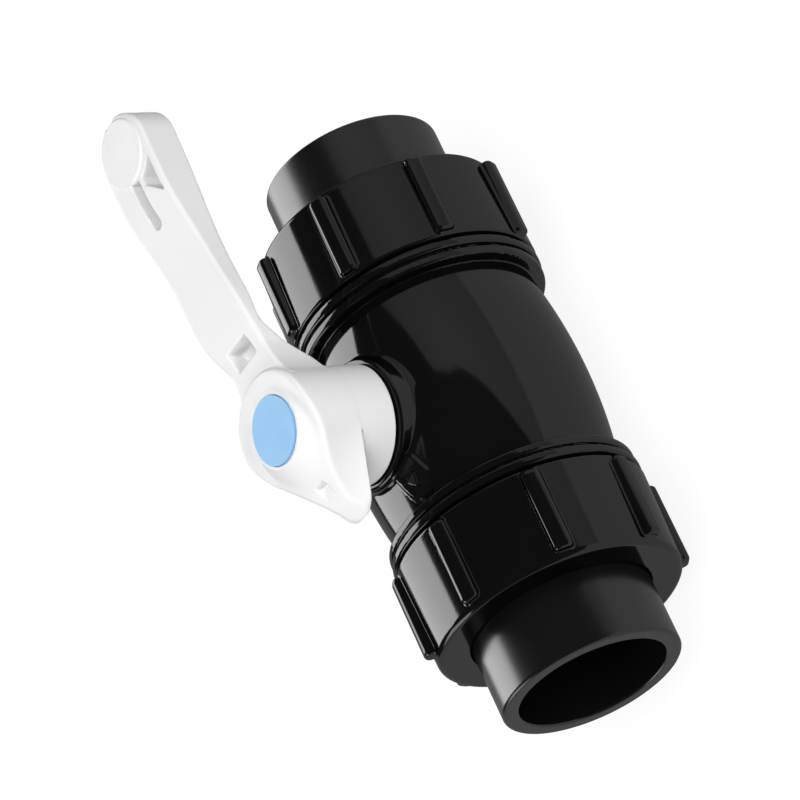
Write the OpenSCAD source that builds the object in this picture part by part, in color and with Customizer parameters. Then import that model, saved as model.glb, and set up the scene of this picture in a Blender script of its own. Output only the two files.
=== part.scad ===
// Ball valve with a union at each end and a lever handle.
// X runs along the pipe, Z runs up the stem and the origin is the centre of the ball.
// The lever lies along -X when the valve is open and turns clockwise to +Y to close it.
// Names ending in _a belong to the +X end, names ending in _b to the -X end.

/* [Pipe sockets] */
// Outside diameter of the pipe that each socket takes
pipe_d = 50; // [46:0.5:54]
// Depth of each socket
socket_depth = 24; // [18:0.5:28]
// Wall of the socket around the pipe
socket_wall = 5.5; // [4:0.25:6]
// How far each end connector stands out of its nut
tail_reach = 24.7; // [20:0.1:40]
// Diameter of the flow passage
flow_d = 40; // [34:0.5:42]

/* [Body] */
// Length of the body between its two union faces
body_length = 123; // [118:0.5:135]
// Wall of the barrel at its middle, around the ball's chamber
barrel_wall = 9.9; // [9:0.1:12]
// How much the barrel's radius falls from its middle to its collars
barrel_drop = 3.5; // [2:0.1:4]
// How far the collars stay below the nuts
collar_sink = 0.1; // [-0.5:0.1:1]
// Width of each collar
collar_w = 7.1; // [5:0.1:9]
// Gap between a collar and its nut
nut_gap = 1; // [0.5:0.1:2]

/* [Union threads] */
// Wall of the body's ends below the thread
end_wall = 5.1; // [4.6:0.1:6]
// Distance from one thread ridge to the next
thread_pitch = 4; // [3:0.25:4.5]
// Height of a thread ridge
thread_depth = 1.8; // [1:0.1:2.2]
// Number of thread ridges at each end
thread_count = 4; // [3:1:4]

/* [Union nuts] */
// Length of each nut
nut_length = 32.7; // [31:0.1:34]
// Wall of a nut around its thread, at the inner end
nut_side = 4.3; // [3.5:0.1:6]
// How much thinner that wall is at the outer end
nut_taper = 1; // [0:0.1:1.5]
// Thickness of the nut's end wall
nut_wall = 7.2; // [5:0.1:9]
// Rounding of the nut's outer corner
nut_round = 2; // [1:0.1:2.5]
// Number of grip ribs on each nut
rib_count = 8; // [6:1:12]
// Height of a rib above the nut
rib_h = 2.4; // [1.6:0.1:4]
// Width of a rib
rib_w = 6.6; // [4:0.1:9]
// Length of a rib
rib_length = 29; // [24:0.5:30]
// Angle of a rib of nut a from the +Y side
rib_turn_a = 30; // [0:1:44]
// Angle of a rib of nut b from the +Y side
rib_turn_b = 17; // [0:1:44]

/* [End connectors] */
// Thickness of the flange that the nut holds
flange_t = 7.3; // [6:0.1:9]
// Radial gap between the end connector and the hole in its nut
tail_gap = 0.4; // [0.3:0.05:0.8]
// Thickness of the union O-ring
union_ring_d = 3.1; // [2.5:0.1:3.3]

/* [Ball and seats] */
// Diameter of the ball
ball_d = 60; // [59:0.2:62]
// Gap between the ball and the sealing face of a seat
seat_gap = 0.3; // [0.2:0.05:0.5]
// Outside radius of a seat
seat_r = 27; // [26.2:0.1:27.6]
// Length of a seat along the pipe
seat_length = 8; // [6:0.1:10]
// Flat part of a seat's front face
seat_lip = 2.6; // [2:0.1:3.2]
// How far a seat stands out of its pocket
seat_proud = 2; // [1:0.1:2.5]
// Thickness of the O-ring behind a seat
seat_ring_d = 3; // [2.4:0.1:3.4]
// Gap between the ball and the chamber around it
chamber_gap = 1.5; // [1:0.1:1.7]
// Thickness of the O-ring around the seat carrier
carrier_ring_d = 3; // [2.4:0.1:3.4]
// Width of the two key slots in the seat carrier
key_w = 8; // [5:0.5:12]
// Depth of the key slots
key_depth = 5; // [3:0.5:8]

/* [Stem] */
// Diameter of the stem in the body
stem_d = 19; // [18.5:0.1:20]
// Radial running gap between the stem and the body
stem_gap = 0.08; // [0.05:0.01:0.1]
// Diameter of the collar that keeps the stem from blowing out
stem_collar_d = 26; // [24:0.2:28]
// Height of that collar
stem_collar_t = 4.9; // [4:0.1:5.2]
// Thickness of the thrust washer above the collar
thrust_t = 1.2; // [0.8:0.1:1.4]
// Thickness of the tang that turns the ball
tang_t = 8; // [6:0.1:10]
// Width of the tang
tang_w = 20; // [14:0.5:22]
// How deep the tang reaches into the ball
tang_depth = 5.6; // [4:0.1:6]
// Gap between the tang and its slot in the ball
tang_gap = 0.15; // [0.1:0.05:0.3]
// Side of the square that carries the handle
square_w = 13; // [11:0.1:13.2]
// Height of the square
square_h = 9; // [7:0.1:11]
// Thickness of the stem O-rings
stem_ring_d = 2.2; // [1.8:0.1:2.4]
// Distance from the thrust washer to the lower stem O-ring
stem_ring_rise = 7.2; // [5:0.1:9]
// Distance between the two stem O-rings
stem_ring_step = 7; // [5:0.5:9]

/* [Neck and stops] */
// How far the ring at the foot of the neck stands out past the handle
ring_lip = 2.5; // [1:0.1:3.5]
// Height of that ring above the barrel
ring_h = 1.9; // [1.2:0.1:2.6]
// Wall of the neck around the stem
neck_wall = 4.5; // [3.5:0.1:5]
// Height of the neck above the barrel
neck_h = 16.6; // [15:0.1:19]
// Reach of the stop lug on the neck
stop_reach = 2.6; // [1.5:0.1:2.6]
// Height of the stop lug
stop_h = 8; // [5:0.5:10]
// Angle that the stop lug covers
stop_arc = 38; // [25:1:60]
// Quarter turn of the handle between its stops
handle_turn = 90; // [80:1:100]
// Distance of the mark lug's round end from the ring
mark_reach = 5.2; // [3:0.1:7]
// Angle of the mark lug from the +X side
mark_turn = 12; // [0:1:20]
// Radius of the mark lug
mark_r = 5.4; // [4:0.1:6.5]
// Height of the mark lug above the barrel
mark_h = 0.6; // [0.2:0.1:1.6]

/* [Handle] */
// Radius of the handle's hub
hub_r = 19.5; // [19:0.1:21]
// Height of the hub above the neck
hub_h = 18.4; // [17.4:0.1:20]
// Wall of the skirt below the hub
skirt_wall = 2.5; // [1.8:0.1:2.6]
// Gap between the handle and the body below it
handle_gap = 0.6; // [0.4:0.1:1]
// Distance from the stem to the centre of the lever's round tip
lever_length = 109.5; // [95:0.5:130]
// Width of the lever at its tip
lever_w = 26; // [22:0.5:28]
// Width of the lever at its waist
waist_w = 23.5; // [19:0.5:24]
// Width of the lever where it leaves the hub
throat_w = 21.4; // [18:0.2:24]
// Distance from the stem to that narrow place
throat_x = 27; // [25:0.5:30]
// How far the underside of the lever lies below the top of the hub
lever_drop = 3; // [2:0.5:5]
// How far the lever's tip rises above the top of the hub
tip_rise = 10.4; // [8:0.2:15]
// How far the web under the lever reaches out from the hub
web_reach = 15; // [11:0.5:20]
// Thickness of the lever's top plate
plate_t = 3; // [2:0.1:4]
// Thickness of the lever's side walls
side_t = 2.6; // [2:0.1:3.5]
// Distance from the stem to the centre of the tail's round end
tail_x = 25.5; // [22:0.5:28]
// Radius of the tail's round end
tail_end_r = 9; // [6:0.5:11]
// How far the underside of the tail lies below the top of the hub
tail_drop = 19.5; // [17:0.5:22]

/* [Handle details] */
// Radius of the thumb pad at the tip
pad_r = 11.1; // [8:0.1:11.5]
// How far the thumb pad stands proud
pad_proud = 0.7; // [0.3:0.1:1.5]
// Width of the slot behind the thumb pad
slot_w = 6; // [4:0.2:7]
// Distance from the stem to the near end of the slot
slot_x = 78; // [70:0.5:84]
// Depth of the slot and of the side pocket
slot_depth = 7.4; // [4:0.2:8]
// Length of the side pocket along the wall of the lever
side_pocket_l = 10.5; // [7:0.5:14]
// Length of the square pocket beside the hub
pocket_l = 7; // [5:0.2:8]
// Width of the square pocket
pocket_w = 12; // [8:0.2:13]
// Depth of the square pocket
pocket_depth = 7.5; // [4:0.5:9]
// Side of the small recess on the tail
recess_w = 5; // [3:0.2:6]
// Depth of the small recess
recess_depth = 1.6; // [0.5:0.1:2]

/* [Cap and screw] */
// Radius of the round cap on the hub
cap_r = 11.1; // [10.5:0.1:12]
// Thickness of the cap's top
cap_t = 1.8; // [1.2:0.1:2.4]
// How far the cap stands above the hub
cap_proud = 0.5; // [0.2:0.1:1]
// Radial gap between the cap and its seat
cap_gap = 0.1; // [0.05:0.05:0.2]
// Wall of the cap's skirt
cap_wall = 1.6; // [1:0.1:1.9]
// Thickness of the handle's floor under the screw
floor_t = 2.2; // [1.6:0.1:3]
// Diameter of the screw's shank
screw_d = 5; // [4:0.1:6]
// Diameter of the screw's head
screw_head_d = 10.5; // [8:0.1:12]
// Height of the screw's head
screw_head_h = 3.2; // [2:0.1:3.4]
// Length of the screw below its head
screw_length = 16; // [12:0.5:18]
// Thickness of the washer under the head
washer_t = 1.2; // [0.8:0.1:1.4]

/* [Hidden] */
$fn = 96;
// Axial gap between faces that meet across a union
face_gap = 0.2;
// Running gap between a nut's end wall and the flange it holds
slip_gap = 0.1;
// Radial gap between the thread ridges and the nut around them
thread_gap = 0.3;
// Radial gap between a piece and the pocket that holds it
fit_gap = 0.05;
// Slack of an O-ring across its groove
ring_gap = 0.1;
// Slack of an O-ring along its groove
ring_slack = 0.5;
// Radial gap between the stop lug and the skirt
stop_gap = 0.4;
// Free angle beyond each end of the handle's turn
stop_slack = 1;
// Overlap that makes cuts and joins clean
eps = 0.5;

// Radii
socket_r = pipe_d / 2;
tail_r = socket_r + socket_wall;
flow_r = flow_d / 2;
ball_r = ball_d / 2;
chamber_r = ball_r + chamber_gap;
barrel_r = chamber_r + barrel_wall;
root_r = chamber_r + end_wall;
thread_r = root_r + thread_depth;
nut_bore_r = thread_r + thread_gap;
nut_r = nut_bore_r + nut_side;
rib_r = nut_r + rib_h;
collar_r = nut_r - collar_sink;
flange_r = nut_bore_r - 0.5;
stem_r = stem_d / 2;
stem_bore_r = stem_r + stem_gap;
neck_r = stem_r + neck_wall;
neck_ring_r = hub_r + ring_lip;
mark_x = neck_ring_r + mark_reach;
collar_pocket_r = stem_collar_d / 2 + stem_gap * 4;
skirt_in_r = hub_r - skirt_wall;

// Stations along the pipe, from the centre outwards
face_x = body_length / 2;
flange_x = face_x + face_gap;
shoulder_x = flange_x + flange_t;
nut_out_x = shoulder_x + slip_gap + nut_wall;
nut_in_x = nut_out_x - nut_length;
end_x = nut_out_x + tail_reach;
socket_x = end_x - socket_depth;
collar_out_x = nut_in_x - nut_gap;
collar_in_x = collar_out_x - collar_w;
seat_mid_r = seat_r - seat_lip;
seat_front_x = sqrt(pow(ball_r + seat_gap, 2) - pow(seat_mid_r, 2));
seat_back_x = seat_front_x + seat_length;
pocket_x = seat_front_x + seat_proud;
seat_ring_r = (flow_r + seat_r) / 2 + 0.5;
union_ring_r = (chamber_r + root_r) / 2;
carrier_out_x = face_x - 0.5;
carrier_ring_x = seat_back_x + seat_ring_d + carrier_ring_d;

// Radius of the barrel's long arc
barrel_arc_r = (pow(collar_in_x, 2) + pow(barrel_drop, 2)) / (2 * barrel_drop);

// Heights up the stem
collar_z = ball_r + handle_gap;
pocket_top_z = collar_z + stem_collar_t + slip_gap + thrust_t;
tang_z = collar_z - tang_depth;
stem_ring_z = pocket_top_z + stem_ring_rise;
neck_ring_z = barrel_r + ring_h;
mark_z = barrel_r + mark_h;
neck_z = barrel_r + neck_h;
hub_under_z = neck_z + handle_gap;
hub_z = hub_under_z + hub_h;
lever_z = hub_z - lever_drop;
tip_z = hub_z + tip_rise;
tail_z = hub_z - tail_drop;
square_top_z = hub_under_z + square_h;
floor_z = square_top_z + face_gap;
ledge_z = floor_z + floor_t;
cap_top_z = hub_z + cap_proud;
skirt_z = neck_ring_z + handle_gap;
screw_tip_z = ledge_z + washer_t - screw_length;

// Outline of the lever
throat_fillet_r = (pow(throat_x, 2) + pow(throat_w / 2, 2) - pow(hub_r, 2)) / (2 * hub_r - throat_w);
throat_y = throat_w / 2 + throat_fillet_r;
fillet_end_y = hub_r * throat_y / norm([throat_x, throat_y]);
waist_x = (lever_length + throat_x) / 2;
waist_span = (lever_length - throat_x) / 3;
waist_step = max(0.1, (lever_w - waist_w) / 2);
waist_arc_r = (pow(waist_span, 2) + pow(waist_step, 2)) / (2 * waist_step);
lever_end_x = lever_length + lever_w / 2;
web_x = hub_r + web_reach;
pocket_mid_x = throat_x + 2.5;
tail_slope = 0.37;
slot_front_x = lever_length - pad_r - 1;
side_y = lever_w / 2 - side_t;

// ---- shared shapes ----

// Turns a radius-height profile about the pipe axis, its height running along +X.
module about_pipe() {
    rotate([0, 90, 0]) rotate_extrude() children();
}

// A cylinder about the pipe axis from x0 to x1.
module pipe_cylinder(r, x0, x1) {
    translate([x0, 0, 0]) rotate([0, 90, 0]) cylinder(r = r, h = x1 - x0);
}

// A cylinder about the stem axis from z0 to z1.
module stem_cylinder(r, z0, z1) {
    translate([0, 0, z0]) cylinder(r = r, h = z1 - z0);
}

// A ring groove about the pipe axis, open towards the ball.
module face_groove(r, ring_d, x0, x1) {
    half = (ring_d + ring_slack) / 2;
    difference() {
        pipe_cylinder(r + half, x0, x1);
        pipe_cylinder(r - half, x0 - eps, x1 + eps);
    }
}

// An O-ring about the pipe axis.
module pipe_ring(r, ring_d, x) {
    translate([x, 0, 0]) about_pipe() translate([r, 0]) circle(d = ring_d - ring_gap);
}

// Outline of the lever seen from above, drawn in by an inset.
module lever_plan(inset) {
    half = lever_w / 2 - inset;
    difference() {
        union() {
            translate([-lever_length, 0]) circle(half);
            translate([-lever_length, -half]) square([lever_length, 2 * half]);
            translate([-throat_x, -fillet_end_y]) square([throat_x, 2 * fillet_end_y]);
        }
        for (side = [-1, 1]) {
            translate([-waist_x, side * (waist_w / 2 + waist_arc_r)]) circle(waist_arc_r + inset, $fn = 720);
            translate([-throat_x, side * throat_y]) circle(throat_fillet_r + inset, $fn = 180);
        }
    }
}

// Height of the lever's top at a distance x from the stem. It rises from the hub and levels out at the tip.
function lever_top(x) =
    let (low = hub_z - 1.6, from = throat_x - 3, to = lever_length - 10)
    let (t = min(1, max(0, (x - from) / (to - from))))
    low + (tip_z - low) * (1 - pow(1 - t, 1.3));

// Side view of the lever, its web included, with the top lowered by a drop.
module lever_side(drop) {
    steps = 20;
    polygon(concat(
        [for (i = [0 : steps]) let (x = i * lever_end_x / steps) [-x, lever_top(x) - drop]],
        [[-lever_end_x, lever_z], [-web_x, lever_z], [-hub_r - 7, lever_z - 7], [-hub_r, tail_z + 3],
         [-hub_r + 3, hub_under_z], [0, hub_under_z]]
    ));
}

// Outline of the hub and its tail: two circles and the straight sides that touch both.
module hub_plan() {
    lean = asin((hub_r - tail_end_r) / tail_x);
    circle(hub_r);
    translate([tail_x, 0]) circle(tail_end_r);
    polygon([
        hub_r * [sin(lean), cos(lean)],
        [tail_x, 0] + tail_end_r * [sin(lean), cos(lean)],
        [tail_x, 0] + tail_end_r * [sin(lean), -cos(lean)],
        hub_r * [sin(lean), -cos(lean)]
    ]);
}

// Side view of the hub's top, which falls away towards the tail.
module hub_side() {
    tip = tail_x + tail_end_r;
    knee = tail_x - 3;
    knee_z = hub_z - knee * tail_slope;
    polygon([
        [-hub_r - 1, hub_under_z], [-hub_r - 1, hub_z], [0, hub_z], [knee, knee_z],
        [tip - 3, (knee_z + tail_z) / 2 + 1], [tip + 1, tail_z], [0, tail_z], [0, hub_under_z]
    ]);
}

// ---- body ----

module body_profile() {
    // Barrel, bounded by its long arc.
    intersection() {
        translate([barrel_r - barrel_arc_r, 0]) circle(barrel_arc_r, $fn = 720);
        translate([0, -collar_in_x - eps]) square([barrel_r, 2 * (collar_in_x + eps)]);
    }
    translate([0, -face_x]) square([root_r, 2 * face_x]);
    for (side = [-1, 1]) {
        collar_profile(side);
        for (i = [0 : thread_count - 1]) {
            ridge_profile(side * (face_x - thread_pitch * (i + 0.5)));
        }
    }
}

// Collar with a groove that splits it into two rings.
module collar_profile(side) {
    mid = (collar_in_x + collar_out_x) / 2;
    polygon([for (p = [
        [0, collar_in_x], [collar_r - 1.2, collar_in_x], [collar_r - 0.5, collar_in_x + 0.7],
        [collar_r - 0.5, mid - 0.5], [collar_r - 1.3, mid], [collar_r, mid + 0.5],
        [collar_r, collar_out_x - 0.5], [collar_r - 0.5, collar_out_x], [0, collar_out_x]
    ]) [p.x, side * p.y]]);
}

// One thread ridge, a blunt V.
module ridge_profile(x) {
    foot = thread_pitch * 0.4;
    crest = thread_pitch * 0.12;
    polygon([
        [root_r - eps, x - foot], [root_r, x - foot], [thread_r, x - crest],
        [thread_r, x + crest], [root_r, x + foot], [root_r - eps, x + foot]
    ]);
}

// Lug with a triangular mark at the foot of the neck.
module mark_lug() {
    rotate([0, 0, mark_turn]) difference() {
        union() {
            translate([mark_x, 0, barrel_r - 8]) cylinder(r = mark_r, h = mark_z - barrel_r + 8);
            translate([0, -mark_r, barrel_r - 8]) cube([mark_x, 2 * mark_r, mark_z - barrel_r + 8]);
        }
        translate([mark_x - 0.5, 0, mark_z - 1]) linear_extrude(2) circle(3.2, $fn = 3);
    }
}

module stop_lug() {
    rotate([0, 0, -stop_arc / 2]) rotate_extrude(angle = stop_arc)
        translate([neck_r - eps, neck_z - stop_h]) square([stop_reach + eps - stop_gap / 2, stop_h]);
}

module valve_body() {
    color("#1e1d20") difference() {
        union() {
            about_pipe() body_profile();
            stem_cylinder(neck_ring_r, barrel_r - 8, neck_ring_z);
            stem_cylinder(neck_r, barrel_r - 8, neck_z);
            mark_lug();
            stop_lug();
        }
        // Chamber, open at the +X end where the seat carrier goes in.
        pipe_cylinder(chamber_r, -pocket_x, face_x + eps);
        // Pocket of the fixed seat and the passage beyond it.
        pipe_cylinder(seat_r + fit_gap, -seat_back_x, 0);
        pipe_cylinder(flow_r, -face_x - eps, 0);
        mirror([1, 0, 0]) face_groove(seat_ring_r, seat_ring_d, seat_back_x - eps, seat_back_x + seat_ring_d);
        // Stem bore and the pocket of the stem's collar.
        stem_cylinder(stem_bore_r, 0, neck_z + eps);
        stem_cylinder(collar_pocket_r, 0, pocket_top_z);
    }
}

// ---- ball, seats and carrier ----

module ball() {
    slot_t = tang_t + 2 * tang_gap;
    slot_z = tang_z - tang_gap - handle_gap / 2;
    color("#d9dadb") difference() {
        sphere(ball_r);
        pipe_cylinder(flow_r, -ball_r - eps, ball_r + eps);
        translate([-slot_t / 2, -ball_r, slot_z]) cube([slot_t, 2 * ball_r, ball_r]);
    }
}

module ball_seat() {
    color("#f2f1ec") difference() {
        pipe_cylinder(seat_r, seat_front_x, seat_back_x);
        pipe_cylinder(flow_r, seat_front_x - eps, seat_back_x + eps);
        sphere(ball_r + seat_gap);
    }
}

module seat_o_ring() {
    color("#26262a") pipe_ring(seat_ring_r, seat_ring_d, seat_back_x + seat_ring_d / 2);
}

module seat_carrier() {
    outer_r = chamber_r - fit_gap;
    groove_r = outer_r - carrier_ring_d;
    color("#2b2a2e") difference() {
        pipe_cylinder(outer_r, pocket_x, carrier_out_x);
        pipe_cylinder(seat_r + fit_gap, pocket_x - eps, seat_back_x);
        pipe_cylinder(flow_r, pocket_x, carrier_out_x + eps);
        face_groove(seat_ring_r, seat_ring_d, seat_back_x - eps, seat_back_x + seat_ring_d);
        // Groove of the O-ring around the carrier.
        difference() {
            pipe_cylinder(outer_r + eps, carrier_ring_x, carrier_ring_x + carrier_ring_d + ring_slack);
            pipe_cylinder(groove_r, carrier_ring_x - eps, carrier_ring_x + carrier_ring_d + ring_slack + eps);
        }
        // Key slots for the tool that screws the carrier home.
        translate([carrier_out_x - key_depth, -chamber_r - eps, -key_w / 2])
            cube([key_depth + eps, 2 * (chamber_r + eps), key_w]);
    }
}

module carrier_o_ring() {
    color("#26262a") pipe_ring(chamber_r - fit_gap - carrier_ring_d / 2, carrier_ring_d,
        carrier_ring_x + (carrier_ring_d + ring_slack) / 2);
}

// ---- stem ----

module stem() {
    color("#3a393d") difference() {
        union() {
            translate([-tang_t / 2, -tang_w / 2, tang_z]) cube([tang_t, tang_w, tang_depth + 1]);
            stem_cylinder(stem_collar_d / 2, collar_z, collar_z + stem_collar_t);
            stem_cylinder(stem_r, collar_z, hub_under_z);
            translate([-square_w / 2, -square_w / 2, hub_under_z - 1])
                cube([square_w, square_w, square_h + 1]);
        }
        for (i = [0, 1]) stem_groove(stem_ring_z + i * stem_ring_step);
        stem_cylinder(screw_d / 2, screw_tip_z - 1, square_top_z + eps);
    }
}

module stem_groove(z) {
    half = (stem_ring_d + ring_slack) / 2;
    difference() {
        stem_cylinder(stem_r + eps, z - half, z + half);
        stem_cylinder(stem_r - stem_ring_d, z - half - eps, z + half + eps);
    }
}

module stem_o_ring(i) {
    color("#26262a") translate([0, 0, stem_ring_z + i * stem_ring_step])
        rotate_extrude() translate([stem_r - stem_ring_d / 2, 0]) circle(d = stem_ring_d - ring_gap);
}

module thrust_washer() {
    color("#f2f1ec") difference() {
        stem_cylinder(stem_collar_d / 2, pocket_top_z - thrust_t, pocket_top_z);
        stem_cylinder(stem_bore_r, pocket_top_z - thrust_t - eps, pocket_top_z + eps);
    }
}

// ---- handle ----

// Hollow under the lever's top plate, less the blocks around the slot and the side pocket.
module lever_hollow() {
    difference() {
        intersection() {
            translate([0, 0, lever_z - 1]) linear_extrude(tip_z) lever_plan(side_t);
            rotate([90, 0, 0]) translate([0, 0, -lever_w]) linear_extrude(2 * lever_w)
                intersection() {
                    lever_side_open();
                    translate([-lever_end_x, lever_z - 1]) square([lever_end_x - web_x - 2, tip_z]);
                }
        }
        translate([-slot_front_x - 5, -slot_w / 2 - 2, tip_z - slot_depth - 2.4])
            cube([slot_front_x - slot_x + 8, side_y + slot_w / 2 + 2, slot_depth + 4]);
    }
}

// Side view of the hollow: it is open below and keeps the top plate.
module lever_side_open() {
    steps = 20;
    polygon(concat(
        [for (i = [0 : steps]) let (x = i * lever_end_x / steps) [-x, lever_top(x) - plate_t]],
        [[-lever_end_x, lever_z - 2], [0, lever_z - 2]]
    ));
}

// Cuts in the top of the lever: slot, side pocket and square pocket.
module lever_pockets() {
    low = tip_z - slot_depth;
    translate([0, 0, low]) linear_extrude(2 * slot_depth) {
        translate([-slot_x - slot_w / 2, 0]) circle(slot_w / 2);
        translate([-slot_front_x, -slot_w / 2]) square([slot_front_x - slot_x - slot_w / 2, slot_w]);
    }
    translate([0, 0, low]) linear_extrude(2 * slot_depth) side_pocket_plan();
    translate([-pocket_mid_x - pocket_l / 2, -pocket_w / 2, hub_z - pocket_depth])
        cube([pocket_l, pocket_w, 2 * pocket_depth]);
}

// Floor and walls below the square pocket.
module pocket_well() {
    wall = 1.5;
    translate([-pocket_mid_x - pocket_l / 2 - wall, -pocket_w / 2 - wall, hub_z - pocket_depth - wall])
        cube([pocket_l + 2 * wall, pocket_w + 2 * wall, pocket_depth - 1]);
}

// Three-cornered pocket between the thumb pad and the lever's +Y wall.
module side_pocket_plan() {
    difference() {
        polygon([
            [-slot_front_x - 4, side_y], [-slot_front_x + side_pocket_l, side_y],
            [-slot_front_x + 4, slot_w / 2 + 1], [-slot_front_x - 4, slot_w / 2 + 1]
        ]);
        translate([-lever_length, 0]) circle(pad_r + 2);
    }
}

// Ledge inside the skirt that meets the body's stop lug at each end of the turn.
module stop_ledge() {
    free = handle_turn + stop_arc + 2 * stop_slack;
    start = stop_arc / 2 + handle_turn + stop_slack;
    rotate([0, 0, start]) rotate_extrude(angle = 360 - free)
        translate([neck_r + stop_gap, hub_under_z - stop_h - handle_gap])
        square([skirt_in_r + 1 - neck_r - stop_gap, stop_h + handle_gap + 1]);
}

module handle() {
    color("#f6f6f6") {
        difference() {
            union() {
                intersection() {
                    translate([0, 0, tail_z]) linear_extrude(hub_z) hub_plan();
                    rotate([90, 0, 0]) translate([0, 0, -hub_r]) linear_extrude(2 * hub_r) hub_side();
                }
                intersection() {
                    translate([0, 0, tail_z]) linear_extrude(tip_z) lever_plan(0);
                    rotate([90, 0, 0]) translate([0, 0, -hub_r]) linear_extrude(2 * hub_r) lever_side(0);
                }
                pocket_well();
                stem_cylinder(hub_r, skirt_z, hub_under_z + 1);
                stem_cylinder(cap_r + 1.5, hub_under_z, hub_z - 0.3);
                translate([-lever_length, 0, tip_z - plate_t]) cylinder(r = pad_r, h = plate_t + pad_proud);
            }
            handle_cuts();
        }
        stop_ledge();
    }
}

module handle_cuts() {
    lever_hollow();
    lever_pockets();
    // Room for the neck inside the skirt.
    stem_cylinder(skirt_in_r, skirt_z - eps, hub_under_z);
    // Square socket, screw hole and seat of the cap.
    translate([-square_w / 2 - fit_gap, -square_w / 2 - fit_gap, hub_under_z - eps])
        cube([square_w + 2 * fit_gap, square_w + 2 * fit_gap, floor_z - hub_under_z + eps]);
    stem_cylinder(screw_d / 2 + 0.6, floor_z - eps, ledge_z + eps);
    stem_cylinder(cap_r + cap_gap, ledge_z, hub_z + eps);
    // Small recess on the tail.
    translate([tail_x - 2 - recess_w / 2, -recess_w / 2, hub_z - tail_slope * tail_x - recess_depth])
        cube([recess_w, recess_w, 10]);
}

module handle_washer() {
    color("#b9bbbd") difference() {
        stem_cylinder(cap_r - cap_wall - 0.5, ledge_z, ledge_z + washer_t);
        stem_cylinder(screw_d / 2 + 0.3, ledge_z - eps, ledge_z + washer_t + eps);
    }
}

module handle_screw() {
    head_z = ledge_z + washer_t;
    color("#b9bbbd") difference() {
        union() {
            stem_cylinder(screw_d / 2 - fit_gap, screw_tip_z, head_z);
            stem_cylinder(screw_head_d / 2, head_z, head_z + screw_head_h);
        }
        // Cross recess.
        for (turn = [0, 90]) rotate([0, 0, turn])
            translate([-screw_head_d / 4, -0.6, head_z + screw_head_h - 1.6])
            cube([screw_head_d / 2, 1.2, 2]);
    }
}

module handle_cap() {
    color("#9ccbfa") difference() {
        stem_cylinder(cap_r, ledge_z, cap_top_z);
        stem_cylinder(cap_r - cap_wall, ledge_z - eps, cap_top_z - cap_t);
    }
}

// ---- unions ----

module nut_rib(turn) {
    start = (nut_length - rib_length) / 3;
    rotate([turn, 0, 0]) translate([nut_in_x + start, nut_bore_r + 1, -rib_w / 2])
        cube([rib_length, rib_r - nut_bore_r - 1, rib_w]);
}

module union_nut(turn) {
    outer_r = nut_r - nut_taper;
    bevel = nut_round * 0.3;
    color("#1b1a1d") difference() {
        union() {
            about_pipe() polygon([
                [0, nut_in_x], [nut_r - 0.8, nut_in_x], [nut_r, nut_in_x + 0.8],
                [outer_r, nut_out_x - nut_round], [outer_r - bevel, nut_out_x - bevel],
                [outer_r - nut_round, nut_out_x], [0, nut_out_x]
            ]);
            for (i = [0 : rib_count - 1]) nut_rib(turn + i * 360 / rib_count);
        }
        pipe_cylinder(nut_bore_r, nut_in_x - eps, nut_out_x - nut_wall);
        pipe_cylinder(tail_r + tail_gap, nut_in_x, nut_out_x + eps);
    }
}

module end_connector() {
    rim = 1.2;
    color("#232226") difference() {
        about_pipe() polygon([
            [flow_r, flange_x], [flange_r, flange_x], [flange_r, shoulder_x], [tail_r, shoulder_x],
            [tail_r, end_x - rim], [tail_r - rim * 0.3, end_x - rim * 0.3], [tail_r - rim, end_x],
            [socket_r, end_x], [socket_r, socket_x], [flow_r, socket_x]
        ]);
        face_groove(union_ring_r, union_ring_d, flange_x - eps, flange_x + union_ring_d - face_gap);
    }
}

module union_o_ring() {
    color("#26262a") pipe_ring(union_ring_r, union_ring_d, face_x + union_ring_d / 2);
}

// ---- the parts ----

valve_body();
seat_carrier();
carrier_o_ring();
ball();
ball_seat();  // ball_seat_a
mirror([1, 0, 0]) ball_seat();  // ball_seat_b
seat_o_ring();  // seat_o_ring_a
mirror([1, 0, 0]) seat_o_ring();  // seat_o_ring_b
stem();
thrust_washer();
stem_o_ring(0);  // stem_o_ring_lower
stem_o_ring(1);  // stem_o_ring_upper
handle();
handle_washer();
handle_screw();
handle_cap();
union_nut(rib_turn_a);  // union_nut_a
mirror([1, 0, 0]) union_nut(rib_turn_b);  // union_nut_b
end_connector();  // end_connector_a
mirror([1, 0, 0]) end_connector();  // end_connector_b
union_o_ring();  // union_o_ring_a
mirror([1, 0, 0]) union_o_ring();  // union_o_ring_b
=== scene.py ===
"""A plastic ball valve with two unions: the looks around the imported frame.

Shapes are written as distance functions in millimetres, negative inside the solid, and solid()
turns them into smooth closed meshes. The pipe lies along X, the stem stands along Z, and the lever
lies along -X.
"""

import math

import bpy
import numpy as np
from mathutils import Matrix, Vector


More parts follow.
